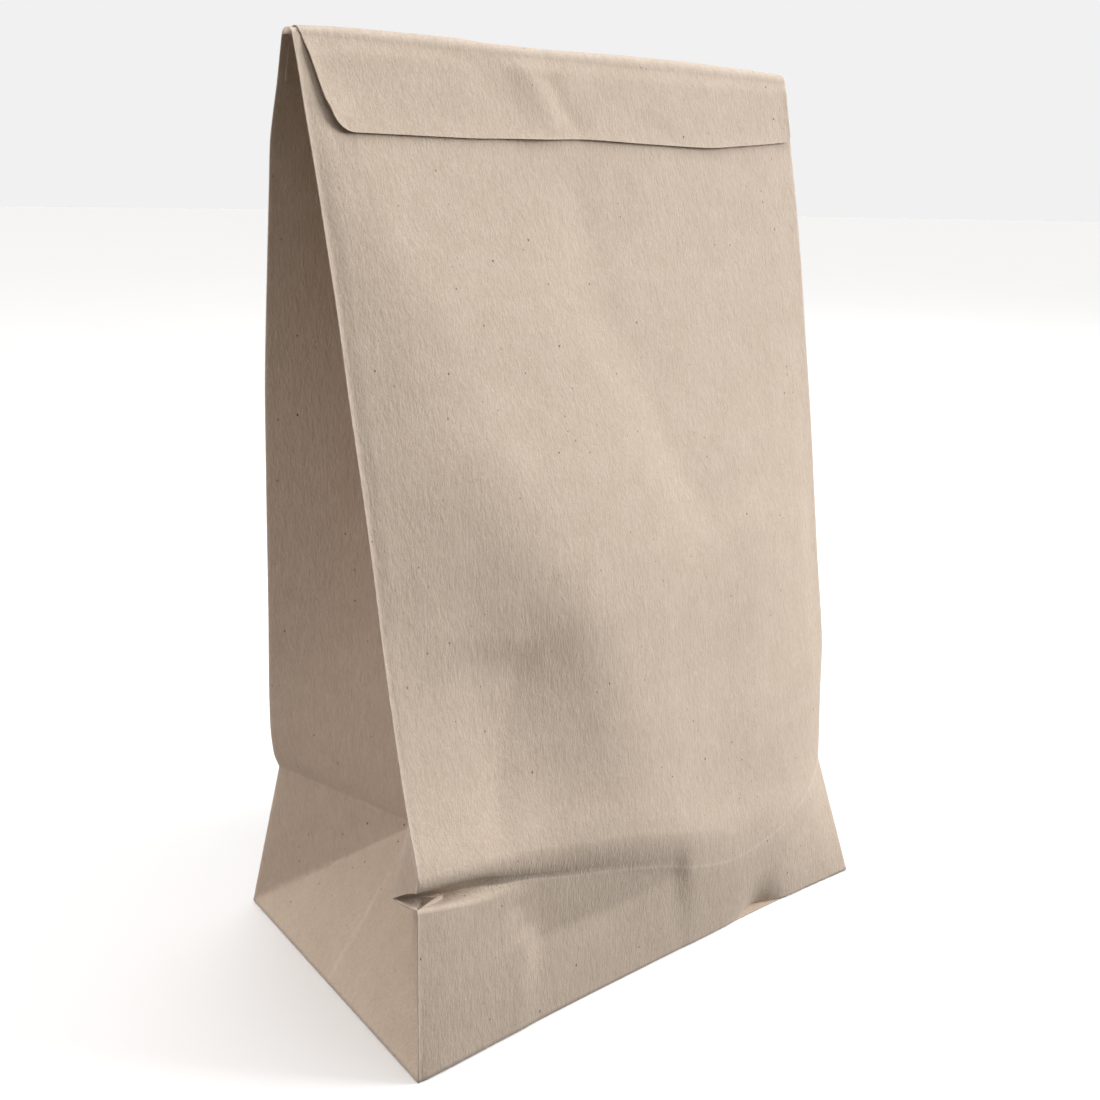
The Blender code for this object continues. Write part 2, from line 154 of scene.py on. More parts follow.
BASE_Y = ((-76, -45.5), (-73, -45.7), (-50, -45.1), (-27, -44.7), (0, -44.5), (29, -44.3), (56, -44.6), (76, -45.5))
# Dent in the base edge: its place, width, depth, and how far up it reaches
BASE_DENT = (38.5, 6.5, 3.6, 6.0)

# Ridge: its height along the top
RIDGE = (
    (-76, 231.1), (-70, 231.5), (-63, 231.8), (-51, 232.0), (-35, 232.1), (-25, 231.7),
    (-11, 231.7), (4, 232.0), (20, 232.3), (36, 232.4), (54, 232.2), (76, 231.7),
)

# Flap: its lower edge, its left edge from the ridge down to where the corner's round starts,
# and its right edge
FLAP_BOTTOM = (
    (-76, 209.7), (-64, 209.8), (-36.8, 209.8), (-26, 210.1), (-13.8, 210.4), (0, 210.9),
    (18.3, 210.6), (39.7, 210.4), (55, 211.4), (71.6, 212.9), (76, 213.4),
)
FLAP_LEFT = ((209.8, -70.6), (213.9, -70.5), (216.6, -71.4), (221.2, -72.3), (227.0, -73.5), (232, -74.5))
FLAP_RIGHT = ((209.8, 75.7), (214.0, 75.6), (220.0, 75.3), (232, 75.4))
FLAP_LEFT_RADIUS = 5.2
FLAP_RIGHT_RADIUS = 2.4

CREASE = 40
EDGE_ROW = CREASE + 6
NOSE_ROW = CREASE + 8
TOP_ROW = NOSE_ROW + 140
LIP_ROW = CREASE - 4


def smooth(t):
    t = np.clip(t, 0.0, 1.0)
    return t * t * (3 - 2 * t)


def curve(knots, at):
    """A smooth line through (place, value) knots that doesn't overshoot them."""
    x, y = np.array(knots, float).T
    step = np.diff(x)
    slope = np.diff(y) / step
    tangent = np.zeros_like(x)
    same = slope[:-1] * slope[1:] > 0
    weight_a, weight_b = 2 * step[1:] + step[:-1], step[1:] + 2 * step[:-1]
    with np.errstate(divide="ignore", invalid="ignore"):
        mean = (weight_a + weight_b) / (weight_a / slope[:-1] + weight_b / slope[1:])
    tangent[1:-1] = np.where(same, mean, 0.0)
    tangent[0], tangent[-1] = slope[0], slope[-1]
    at = np.clip(np.asarray(at, float), x[0], x[-1])
    i = np.clip(np.searchsorted(x, at, side="right") - 1, 0, len(x) - 2)
    t = (at - x[i]) / step[i]
    low = y[i] * (1 + 2 * t) * (1 - t) ** 2 + step[i] * tangent[i] * t * (1 - t) ** 2
    high = y[i + 1] * t * t * (3 - 2 * t) + step[i] * tangent[i + 1] * t * t * (t - 1)
    return low + high


def fold_rows(table, corner):
    """Points up a fold, one for each row: corner, crease, ridge."""
    z, x, y = np.array(table, float).T
    start = np.array((x[0], y[0], z[0]))
    lower = corner + np.linspace(0, 1, CREASE + 1)[:, None] * (start - corner)
    up = UPPER_SHARES
    height = z[0] + (z[-1] - z[0]) * up
    upper = np.stack((curve(list(zip(z, x)), height), curve(list(zip(z, y)), height), height), axis=1)
    return np.concatenate((lower, upper[1:]))


def spread(count, first, last):
    """Shares from 0 to 1 whose spacing starts and ends small."""
    t = np.linspace(0, 1, count)
    shares = t + (first - 1) * np.sin(2 * np.pi * t) / (2 * np.pi) * 0.75
    shares = (shares - shares[0]) / (shares[-1] - shares[0])
    return np.concatenate(([0, last], shares[1:-1] * (1 - 4 * last) + 2 * last, [1 - last, 1]))


NEAR_CREASE = np.array((0, 0.05, 0.14, 0.27, 0.42, 0.58, 0.72, 0.86, 1.0))
UNDER_LIP = (0, 0.07, 0.2, 0.4, 0.62, 0.84)
UPPER_SHARES = np.concatenate((NEAR_CREASE * 0.045, 0.045 + 0.955 * np.linspace(0, 1, 141)[1:]))
FRONT_SHARES = spread(132, 0.35, 0.0016)
BACK_SHARES = spread(92, 0.5, 0.0016)
SIDE_SHARES = np.concatenate(([0, 0.006], np.arange(1, CREASE) / CREASE, [0.994, 1.0]))


def front_left_fold():
    """The front left fold with its spur."""
    corner = np.array((-HALF_WIDTH, -HALF_DEPTH, 0.4))
    lip, tip = np.array(LOWER_LIP), np.array(SPUR_TIP)
    bend, nose = np.array(UPPER_BEND), np.array(NOSE)
    lower = corner + np.linspace(0, 1, LIP_ROW + 1)[:, None] * (lip - corner)
    lower[:, 1] -= 0.15 * np.sin(np.linspace(0, np.pi, LIP_ROW + 1))
    under = lip + np.array((0.3, 0.62, 0.87, 1.0))[:, None] * (tip - lip)
    under[:3, 2] -= np.array((0.5, 0.6, 0.3))
    over = tip + np.array(UNDER_LIP[1:] + (1.0,))[:, None] * (bend - tip)
    over[:5, 2] += np.array((0.0, 0.1, 0.3, 0.4, 0.25))
    up = bend + np.array((0.5, 1.0))[:, None] * (nose - bend)
    z, x, y = np.array(FRONT_LEFT, float).T
    height = z[0] + (z[-1] - z[0]) * np.linspace(0, 1, 141)[1:]
    upper = np.stack((curve(list(zip(z, x)), height), curve(list(zip(z, y)), height), height), axis=1)
    return np.concatenate((lower, under, over, up, upper))


def corner_of(side, facing):
    return np.array((side * HALF_WIDTH, facing * HALF_DEPTH, 0.4))


def centre_fold(front, back, side):
    """The gusset's middle fold, which sinks deeper as the bag gets flatter."""
    base = np.array((side * HALF_WIDTH, 0.0, 0.4))
    meeting = np.array((side * (HALF_WIDTH - GUSSET_SINK), 0.0, 35.9))
    lower = base + np.linspace(0, 1, CREASE + 1)[:, None] * (meeting - base)
    up = UPPER_SHARES[1:]
    half_gap = (back[CREASE + 1 :, 1] - front[CREASE + 1 :, 1]) / 2
    sink = np.sqrt(np.maximum(HALF_DEPTH**2 - half_gap**2, 0.0))
    sink = GUSSET_SINK + np.logaddexp(0, (sink - GUSSET_SINK) / 3) * 3 - math.log(2) * 3 * np.exp(-up / 0.1)
    middle = (front[CREASE + 1 :, 1] + back[CREASE + 1 :, 1]) / 2
    y = middle * smooth(up / 0.2)
    z = meeting[2] + (front[-1, 2] - meeting[2]) * up
    upper = np.stack((side * (HALF_WIDTH - np.minimum(sink, 46.0)), y, z), axis=1)
    return np.concatenate((lower, upper))


def half_side(edge, centre):
    """Half a gusset, from its edge fold to its middle fold.

    Below the crease the 45 degree fold from the bottom corner parts the triangle that stands
    on the bottom's edge from the one that hangs on the panel's edge.
    """
    points = edge[:, None, :] + SIDE_SHARES[None, :, None] * (centre - edge)[:, None, :]
    corner, crease_end = edge[0], edge[CREASE]
    base_middle, meeting = centre[0], centre[CREASE]
    for row in range(CREASE + 1):
        up = row / CREASE
        straight = corner + (crease_end - corner) * up
        for column, across in enumerate(SIDE_SHARES):
            if across >= up:
                point = corner + (base_middle - corner) * across + (meeting - base_middle) * up
            else:
                point = straight + (meeting - crease_end) * across
                point = point + (edge[row] - straight) * (1 - across / up) ** 2
            points[row, column] = point
    return points


def spur_facet(points):
    """Bends the left gusset's front half where the spur's crease runs up across it."""
    for row in range(CREASE + 1, TOP_ROW + 1):
        edge = points[row, 0].copy()
        if edge[2] > SPUR_CREASE[-1][0]:
            break
        z = min(SPUR_CREASE[-1][0], edge[2] - 3.0 * math.sin(math.pi * min(1, (edge[2] - 43.3) / 21)))
        bend = np.array((-HALF_WIDTH, float(curve(SPUR_CREASE, z)), z))
        gap = np.linalg.norm(bend - edge)
        centre = points[row, -1].copy()
        whole = gap + np.linalg.norm(centre - bend)
        for column, across in enumerate(SIDE_SHARES):
            if column == 0:
                continue
            reach = across * whole
            if reach < gap:
                points[row, column] = edge + (bend - edge) * (reach / gap)
            else:
                points[row, column] = bend + (centre - bend) * ((reach - gap) / (whole - gap))
    return points


def line_distance(x, z, line):
    """Distance to a bent line, which side of it, and how far along it the nearest place is."""
    best = np.full(x.shape, 1e9)
    side = np.ones(x.shape)
    along = np.zeros(x.shape)
    points = np.array(line, float)
    steps = np.diff(points, axis=0)
    lengths = np.hypot(steps[:, 0], steps[:, 1])
    done = 0.0
    for (ax, az), (dx, dz), length in zip(points, steps, lengths):
        t = np.clip(((x - ax) * dx + (z - az) * dz) / length**2, 0, 1)
        px, pz = x - ax - t * dx, z - az - t * dz
        gap = np.hypot(px, pz)
        nearer = gap < best
        best = np.where(nearer, gap, best)
        side = np.where(nearer, np.sign(dx * pz - dz * px), side)
        along = np.where(nearer, (done + t * length) / lengths.sum(), along)
        done += length
    return best, side, along


def soft_line(x, z, line, height, left, right, ends=0.15, round_off=2.0):
    """A soft ridge or valley along a line: it falls off over left and right beside it."""
    gap, side, along = line_distance(x, z, line)
    width = np.where(side > 0, left, right)
    rounded = np.sqrt(gap**2 + round_off**2) - round_off
    fade = smooth(along / ends) * smooth((1 - along) / ends) if ends else 1.0
    return height * np.exp(-rounded / width) * fade


# Swell of the front panel. Its ridge runs from the top left corner down to the crease, as
# The sections across it are in SWELL below, placed from the ridge's own x at that height.
SWELL_AT = (
    (20, 8), (33, 2), (50, -7), (67, -12), (83, -16), (96, -21), (107, -28), (119, -34),
    (130, -39), (142, -46), (153, -51), (166, -55), (177, -61), (194, -69), (230, -74),
)
SWELL = (
    # height up, proud at the left valley, at the ridge, and 45 mm right of the ridge
    (16, 0.0, 0.0, 0.0),
    (30, -0.5, 0.3, 0.0),
    (42, -0.9, 1.0, 0.3),
    (55, -1.0, 2.2, 1.0),
    (75, -0.6, 4.2, 2.4),
    (92, 0.6, 5.8, 3.8),
    (100, 1.9, 6.4, 4.3),
    (110, 2.9, 6.6, 4.6),
    (130, 3.5, 6.0, 4.2),
    (150, 2.6, 4.4, 3.0),
    (170, 1.5, 2.9, 1.5),
    (190, 0.8, 1.9, 0.2),
    (206, 0.2, 0.9, -0.1),
    (220, 0.0, 0.0, 0.0),
)

FRONT_FEATURES = (
    # line, height, fall-off on its left and right, ends, rounding
    (((-5, 214), (-4, 185), (-7, 176), (3, 160), (12, 138), (20, 122), (40, 117)), -0.9, 12, 9, 0.2, 3),
    (((47, 125), (46, 102), (40, 81), (36, 60), (36, 37)), 0.8, 14, 14, 0.2, 4),
    (((-38, 98), (-46, 80), (-51, 62), (-51, 46)), -0.7, 5, 7, 0.2, 1.5),
    (((-48, 38), (-45, 31), (-44, 24)), -0.7, 4, 6, 0.3, 1.0),
    (((-46, 23), (-28, 22.5), (-9, 22.5), (9, 26)), -1.3, 8, 13, 0.12, 1.2),
    (((-72, 101), (-52, 99), (-36, 97)), 0.5, 9, 9, 0.3, 3),
    (((14, 158), (22, 160), (33, 157)), 0.12, 1.5, 1.5, 0.3, 0.6),
    (((13, 151), (14, 146), (18, 141)), 0.12, 1.5, 1.5, 0.3, 0.6),
)


def swell(x, z):
    """The front panel's swell: a bent sheet, straight from fold to valley to ridge."""
    heights, valley, ridge, beyond = np.array(SWELL, float).T
    valley = curve(list(zip(heights, valley)), z)
    ridge = curve(list(zip(heights, ridge)), z)
    beyond = curve(list(zip(heights, beyond)), z)
    ridge_x = curve(SWELL_AT, z)
    valley_x = -HALF_WIDTH + 0.5 * (ridge_x + HALF_WIDTH)
    beyond_x = ridge_x + 0.4 * (HALF_WIDTH - ridge_x)
    stops_x = [np.full(x.shape, -HALF_WIDTH), valley_x, ridge_x, beyond_x, np.full(x.shape, HALF_WIDTH)]
    stops_h = [np.zeros(x.shape), valley, ridge, beyond, np.zeros(x.shape)]
    proud = np.zeros(x.shape)
    for reach in (-7.0, -3.5, 0.0, 3.5, 7.0):
        at = x + reach
        part = stops_h[0] + (stops_h[1] - stops_h[0]) * (at - stops_x[0]) / (stops_x[1] - stops_x[0] + 1e-6)
        for low in range(1, 4):
            run = (at - stops_x[low]) / (stops_x[low + 1] - stops_x[low] + 1e-6)
            piece = stops_h[low] + (stops_h[low + 1] - stops_h[low]) * run
            part = np.where(at > stops_x[low], piece, part)
        proud += part / 5
    return proud


def front_relief(x, z):
    """How far the front panel stands out from a plain loft between its folds."""
    relief = swell(x, z)
    for line, height, left, right, ends, round_off in FRONT_FEATURES:
        relief += soft_line(x, z, line, height, left, right, ends, round_off)
    groove = 0.14 * np.exp(-(((x + 74.9) / 0.4) ** 2)) * smooth((z - 52) / 4)
    edges = smooth((x + HALF_WIDTH) / 4) * smooth((HALF_WIDTH - x) / 9)
    return (relief * edges - groove) * smooth((228 - z) / 14)


def feature_row(points, row, heights, depths, inner):
    """One row of the front panel, moved to a line given by its heights and depths."""
    line = points[row].copy()
    x = line[:, 0]
    line[:, 2] += (curve(heights, x) - line[:, 2]) * inner
    line[:, 1] += (curve(depths, x) - line[:, 1]) * inner
    return line


def front_panel(left, right):
    shares = FRONT_SHARES
    points = left[:, None, :] + shares[None, :, None] * (right - left)[:, None, :]
    inner = smooth(shares / 0.004) * smooth((1 - shares) / 0.004)

    base = points[0].copy()
    base[:, 1] += (curve(BASE_Y, base[:, 0]) - base[:, 1]) * inner
    lower = feature_row(points, LIP_ROW, LOWER_Z, LOWER_Y, inner)
    valley = feature_row(points, CREASE, VALLEY_Z, VALLEY_Y, inner)
    lip = feature_row(points, EDGE_ROW, LIP_Z, LIP_Y, inner)
    upper = feature_row(points, NOSE_ROW, UPPER_Z, UPPER_Y, inner)

    for row in range(LIP_ROW + 1):
        t = row / LIP_ROW
        flat = left[row] + shares[:, None] * (right[row] - left[row])
        blend = base + (lower - base) * t
        blend[:, 0] = flat[:, 0]
        points[row] = flat + (blend - flat) * inner[:, None]
    for row, t in zip(range(LIP_ROW + 1, CREASE), (0.3, 0.62, 0.87)):
        blend = lower + (valley - lower) * t
        points[row, 1:-1] = blend[1:-1]
    for row, t in zip(range(CREASE, EDGE_ROW), UNDER_LIP):
        blend = valley + (lip - valley) * np.array((t, t**1.15, 1 - (1 - t) ** 1.25))
        points[row, 1:-1] = blend[1:-1]
    points[EDGE_ROW, 1:-1] = lip[1:-1]
    points[EDGE_ROW + 1, 1:-1] = (0.55 * lip + 0.45 * upper)[1:-1]
    points[EDGE_ROW + 1, 1:-1, 1] -= 0.12
    flat = left[NOSE_ROW] + shares[:, None] * (right[NOSE_ROW] - left[NOSE_ROW])
    offset = upper - flat
    for row in range(NOSE_ROW, TOP_ROW + 1):
        t = (row - NOSE_ROW) / (TOP_ROW - NOSE_ROW)
        points[row] += offset * ((1 - t) ** 1.15)

    place, width, depth, reach = BASE_DENT
    x, z = points[:, :, 0], points[:, :, 2]
    dent = depth * np.exp(-(((x - place) / width) ** 2) - z / reach)
    points[:, :, 1] += dent - front_relief(x, z)
    return points


def back_panel(left, right):
    shares = BACK_SHARES
    points = left[:, None, :] + shares[None, :, None] * (right - left)[:, None, :]
    x, z = points[:, :, 0], points[:, :, 2]
    across = smooth(shares / 0.35) * smooth((1 - shares) / 0.35)
    swell = 3.0 * across[None, :] * np.sin(np.pi * np.clip(z / 222, 0, 1)) ** 0.8
    swell += soft_line(x, z, ((-60, 205), (-30, 130), (-5, 60)), 1.0, 22, 16, 0.3, 8)
    swell += soft_line(x, z, ((52, 190), (36, 120), (40, 60)), -0.9, 16, 20, 0.3, 7)
    swell += soft_line(x, z, ((10, 200), (14, 150), (-2, 96)), -0.5, 9, 12, 0.3, 5)
    edges = smooth((x + HALF_WIDTH) / 9) * smooth((HALF_WIDTH - x) / 9)
    points[:, :, 1] += swell * edges
    return points


def side_relief(points, side):
    """Soft hollows and swells of a gusset half, as a move along x, inwards positive."""
    y, z = points[:, :, 1], points[:, :, 2]
    rows = np.arange(len(points))[:, None] * np.ones_like(y)
    columns = SIDE_SHARES[None, :] * np.ones_like(y)
    loose = np.sin(np.pi * np.clip(columns, 0, 1))
    upper = smooth((rows - CREASE) / 30) * smooth((TOP_ROW - rows) / 60)
    sway = np.sin(z / 31 + side * 1.3) + 0.6 * np.sin(z / 17 + 2.1 - side)
    move = 0.9 * loose * upper * sway
    lower = np.where(rows <= CREASE, np.sin(np.pi * rows / CREASE), 0.0)
    move += 0.7 * loose * lower * np.sin(y / 14 + z / 19 + side)
    return move


def build_rings():
    """Rings of points round the bag from the base to the ridge, and where each part starts."""
    fl = front_left_fold()
    fr = fold_rows(FRONT_RIGHT, corner_of(1, -1))
    bl = fold_rows(BACK_LEFT, corner_of(-1, 1))
    br = fold_rows(BACK_RIGHT, corner_of(1, 1))
    right_centre = centre_fold(fr, br, 1)
    left_centre = centre_fold(fl, bl, -1)

    front = front_panel(fl, fr)
    back = back_panel(bl, br)
    right_front = half_side(fr, right_centre)
    right_back = half_side(br, right_centre)
    left_back = half_side(bl, left_centre)
    left_front = spur_facet(half_side(fl, left_centre))
    for part, side in ((right_front, 1), (right_back, 1), (left_back, -1), (left_front, -1)):
        part[:, :, 0] -= side * side_relief(part, side)

    y, z = left_front[:, :, 1], left_front[:, :, 2]
    below = np.arange(len(left_front))[:, None] < CREASE
    behind = y + HALF_DEPTH
    deep = curve(((0, 0.0), (10, 0.8), (24, 1.8), (34, 4.2), (41, 7.5), (46, 7.0)), z)
    dent = deep * smooth(behind / 3.2) * np.exp(-(np.maximum(behind - 3.2, 0) / 5.0) ** 1.6)
    free = smooth((1 - SIDE_SHARES) / 0.3)[None, :]
    left_front[:, :, 0] += np.where(below, dent, 0.0) * free

    parts = (
        front[:, :-1],
        right_front[:, :-1],
        right_back[:, :0:-1],
        back[:, :0:-1],
        left_back[:, :-1],
        left_front[:, :0:-1],
    )
    starts = np.cumsum([0] + [part.shape[1] for part in parts])
    return np.concatenate(parts, axis=1), starts, front, back


def cell_cut(row, column, starts):
    """Which way a cell of a lower side is cut, so that the 45 degree folds are true edges."""
    if row >= CREASE:
        return 0
    if starts[1] <= column < starts[2] or starts[4] <= column < starts[5]:
        return 1
    if starts[2] <= column < starts[3] or starts[5] <= column < starts[6]:
        return -1
    return 0


def crease_marks(rings, starts):
    """Strength of the lighter marks along the folds, the crease, the 45 degree folds and the base edge at each
    point of the rings, from 0 to 1: partly crease wear, partly painted highlight.
    """
    rows, count, _ = rings.shape
    wear_and_highlight = np.zeros((rows, count))
    folds = (starts[0], starts[1], starts[3], starts[4])
    for fold in folds:
        gap = np.linalg.norm(rings - rings[:, fold : fold + 1], axis=2)
        wear_and_highlight = np.maximum(wear_and_highlight, np.exp(-((gap / 0.45) ** 2)))
    for fold in (starts[2], starts[5]):
        gap = np.linalg.norm(rings - rings[:, fold : fold + 1], axis=2)
        wear_and_highlight = np.maximum(wear_and_highlight, 0.55 * np.exp(-((gap / 0.9) ** 2)))
    gap = np.linalg.norm(rings - rings[CREASE : CREASE + 1], axis=2)
    wear_and_highlight = np.maximum(wear_and_highlight, 0.75 * np.exp(-((gap / 0.5) ** 2)))
    for first, last, step in (
        (starts[1], starts[2], 1),
        (starts[3] - 1, starts[2], -1),
        (starts[4], starts[5], 1),
        (starts[6] - 1, starts[5], -1),
    ):
        columns = np.arange(first, last, step)
        for place, column in enumerate(columns):
            row = int(round(min(1.0, (place + (step < 0)) / (CREASE + 1)) * CREASE))
            if 0 < row < CREASE:
                wear_and_highlight[row, column] = max(wear_and_highlight[row, column], 0.5)
    base = np.exp(-((rings[:, :, 2] / 0.8) ** 2))
    return np.maximum(wear_and_highlight, 0.7 * base)


def mesh_object(name, points, faces, wear_and_highlight, material):
    mesh = bpy.data.meshes.new(name)
    mesh.from_pydata((np.asarray(points) * 0.001).tolist(), [], faces)
    mesh.validate()
    # The "crease" attribute carries the lighter marks along folds and edges: partly crease wear, partly painted
    # highlight.
    attribute = mesh.attributes.new("crease", "FLOAT", "POINT")
    attribute.data.foreach_set("value", np.asarray(wear_and_highlight, float))
    mesh.polygons.foreach_set("use_smooth", [True] * len(mesh.polygons))
    mesh.materials.append(material)
    mesh.update()
    obj = bpy.data.objects.new(name, mesh)
    bpy.context.scene.collection.objects.link(obj)
    return obj


def build_bag(material):
    rings, starts, front, back = build_rings()
    rows, count, _ = rings.shape
    wear_and_highlight = crease_marks(rings, starts)
    points = rings.reshape(-1, 3).tolist()
    wear_and_highlight_values = wear_and_highlight.reshape(-1).tolist()
    faces = []
    for row in range(rows - 1):
        for column in range(count):
            beside = (column + 1) % count
            a, b = row * count + column, row * count + beside
            c, d = b + count, a + count
            cut = cell_cut(row, column, starts)
            if cut == 1:
                faces += [(a, b, c), (a, c, d)]
            elif cut == -1:
                faces += [(a, b, d), (b, c, d)]
            else:
                faces.append((a, b, c, d))

    # Rounded edge of the bottom, and the bottom itself
    under = rings[0].copy()
    under[:, 0] *= 1 - 0.35 / HALF_WIDTH
    under[:, 1] *= 1 - 0.35 / HALF_DEPTH
    under[:, 2] = 0.2
    first = len(points)
    points += under.tolist()
    # The rounded bottom edge is painted lighter: partly wear, partly painted highlight.
    wear_and_highlight_values += [0.7] * count
    for column in range(count):
        beside = (column + 1) % count
        faces.append((first + column, first + beside, beside, column))
    faces.append(tuple(first + column for column in range(count - 1, -1, -1)))

    # Slot roofs: each gusset's folded layers are closed where they meet the ridge
    top = (rows - 1) * count
    for start, middle, end in ((starts[1], starts[2], starts[3]), (starts[4], starts[5], starts[6])):
        for step in range(middle - start):
            near, far = top + start + step, top + (end - step) % count
            inner, far_inner = near + 1, top + end - step - 1
            if inner == far_inner:
                faces.append((near, inner, far))
            else:
                faces.append((near, inner, far_inner, far))

    # Ridge: where the layers lie pressed together, rounded over the top
    front_ids = [top + column for column in range(starts[0], starts[1] + 1)]
    back_ids = [top + column for column in range(starts[3], starts[4] + 1)][::-1]
    share = FRONT_SHARES
    back_x = np.array([points[i][0] for i in back_ids])
    columns = [points[i][0] for i in front_ids]
    levels = [front_ids]
    crown = curve(RIDGE, columns) - 0.35
    for turn in (35, 62, 90, 118, 145):
        angle = math.radians(turn)
        front_y = np.array([points[i][1] for i in front_ids])
        back_y = np.interp(columns, back_x, [points[i][1] for i in back_ids])
        middle, half = (front_y + back_y) / 2, (back_y - front_y) / 2
        z0 = points[top][2]
        ring_y = middle - half * math.cos(angle)
        ring_z = z0 + (crown - z0) * math.sin(angle)
        level = []
        for x, y, z in zip(columns, ring_y, ring_z):
            level.append(len(points))
            points.append([x, y, z])
            # The rounded ridge is painted lighter: partly wear, partly painted highlight.
            wear_and_highlight_values.append(0.6)
        levels.append(level)
    for lower, upper in zip(levels, levels[1:]):
        for i in range(len(lower) - 1):
            faces.append((lower[i], lower[i + 1], upper[i + 1], upper[i]))
    # the last level meets the back panel's row, whose columns are fewer
    last = levels[-1]
    i = j = 0
    while i < len(last) - 1 or j < len(back_ids) - 1:
        next_front = points[last[i + 1]][0] if i < len(last) - 1 else 1e9
        next_back = points[back_ids[j + 1]][0] if j < len(back_ids) - 1 else 1e9
        if next_front <= next_back:
            faces.append((last[i], last[i + 1], back_ids[j]))
            i += 1
        else:
            faces.append((last[i], back_ids[j + 1], back_ids[j]))
            j += 1
    faces.append(tuple(level[0] for level in levels) + (back_ids[0],))
    faces.append((back_ids[-1],) + tuple(level[-1] for level in reversed(levels)))

    bag = mesh_object("folded_bag", points, faces, wear_and_highlight_values, material)
    return bag, front, back


def surface_y(panel, x, z):
    """Depth of a panel's surface at x and z, from its grid of points."""
    heights = panel[NOSE_ROW:, :, 2]
    depths = panel[NOSE_ROW:, :, 1]
    across = panel[-1, :, 0]
    place = np.clip(np.interp(x, across, np.arange(len(across))), 0, len(across) - 1.001)
    column = int(place)
    part = place - column
    near = np.interp(z, heights[:, column], depths[:, column])
    far = np.interp(z, heights[:, column + 1], depths[:, column + 1])
    return near * (1 - part) + far * part


def flap_gap(x, z, fall):
    """Clear gap between the flap and the panel: small where it is glued, wider at its edges."""
    edge = math.exp(-fall / 2.2)
    gap = 0.03 + 0.20 * edge
    gap += 0.55 * math.exp(-(((x + 69.5) / 3.5) ** 2) - ((z - 214.5) / 5.0) ** 2)
    gap += 0.75 * edge * math.exp(-(((x + 18) / 7) ** 2))
    gap += 0.25 * edge * (0.5 + 0.5 * math.sin(x / 6.3 + 1.0)) * (0.5 + 0.5 * math.sin(x / 17.0))
    return gap


def flap_relief(x, z):
    """Soft folds of the flap: two valleys fall from the ridge, with a ridge right of one."""
    at_x, at_z = np.array([x]), np.array([z])
    relief = soft_line(at_x, at_z, ((-30, 231), (-24, 222), (-20, 209)), -0.7, 3.0, 4.0, 0.0, 0.8)
    relief += soft_line(at_x, at_z, ((-10.5, 226), (-6.8, 218), (-0.6, 211)), -0.45, 2.5, 2.5, 0.1, 0.6)
    relief += soft_line(at_x, at_z, ((-19, 229), (-13, 220), (-10, 211)), 0.45, 4.0, 3.0, 0.1, 1.0)
    relief += soft_line(at_x, at_z, ((22, 230), (30, 220), (26, 212)), 0.25, 9.0, 9.0, 0.3, 3.0)
    return float(relief[0]) * float(smooth((231 - z) / 5))


def build_flap(material, front, back):
    """The flap: a sheet that leaves the back panel at the ridge and lies down on the front."""
    columns = spread(120, 0.5, 0.0014)
    outer, inner = [], []
    top_z = front[-1, 0, 2]
    down = np.concatenate((np.linspace(0, 0.66, 20), 0.66 + 0.34 * np.sin(np.linspace(0, np.pi / 2, 15))[1:]))
    rows = [("back", t) for t in (0.0, 0.3, 0.6, 0.85)]
    rows += [("over", t) for t in np.linspace(0, 1, 13)[:-1]]
    rows += [("down", t) for t in down]
    for kind, t in rows:
        outer_row, inner_row = [], []
        for s in columns:
            if kind == "down":
                left, right, z = flap_place(s, t, top_z)
            else:
                left, right, z = float(curve(FLAP_LEFT, 231)), float(curve(FLAP_RIGHT, 231)), top_z
            x = left + (right - left) * s
            front_y = surface_y(front, x, z)
            back_y = surface_y(back, x, top_z)
            crown = float(curve(RIDGE, x))
            if kind == "back":
                z = top_z - 9.0 * (1 - t)
                y = surface_y(back, x, z) + (t - 0.55) * 0.45
                outer_row.append((x, y, z))
                inner_row.append((x, y - PAPER, z))
            elif kind == "over":
                angle = math.pi * (1 - t)
                middle, half = (front_y + back_y) / 2, (back_y - front_y) / 2
                for target, extra in ((outer_row, PAPER), (inner_row, 0.0)):
                    rise = crown - PAPER + extra - top_z
                    target.append(
                        (x, middle - (half + extra) * math.cos(angle), top_z + rise * math.sin(angle))
                    )
            else:
                bottom = float(curve(FLAP_BOTTOM, x))
                near_edge = min(z - bottom, (x - left) * 1.6, (right - x) * 1.6)
                gap = flap_gap(x, z, max(near_edge, 0.0))
                gap *= float(smooth(t / 0.25))
                y = front_y - gap - max(0.0, flap_relief(x, z) + 0.35 * float(smooth(t / 0.2))) * 1.0
                inner_row.append((x, y, z))
                outer_row.append((x, y - PAPER, z))
        outer.append(outer_row)
        inner.append(inner_row)
    outer, inner = np.array(outer), np.array(inner)
    rows_count, count, _ = outer.shape
    points = np.concatenate((outer.reshape(-1, 3), inner.reshape(-1, 3)))
    half = rows_count * count
    faces = []
    for row in range(rows_count - 1):
        for column in range(count - 1):
            a = row * count + column
            b, c, d = a + 1, a + count + 1, a + count
            faces.append((a, b, c, d))
            faces.append((half + a, half + d, half + c, half + b))
    for row in range(rows_count - 1):
        a, d = row * count, (row + 1) * count
        faces.append((a, d, half + d, half + a))
        b, c = a + count - 1, d + count - 1
        faces.append((b, half + b, half + c, c))
    for column in range(count - 1):
        a, b = column, column + 1
        faces.append((a, half + a, half + b, b))
        a, b = (rows_count - 1) * count + column, (rows_count - 1) * count + column + 1
        faces.append((a, b, half + b, half + a))
    wear_and_highlight = np.zeros(len(points))
    over = np.array([kind == "over" for kind, _ in rows])
    # The flap's fold over the ridge is painted lighter: partly crease wear, partly painted highlight.
    wear_and_highlight[:half] = np.repeat(np.where(over, 0.5, 0.0), count)
    flap = mesh_object("glued_flap", points, faces, wear_and_highlight, material)
    return flap


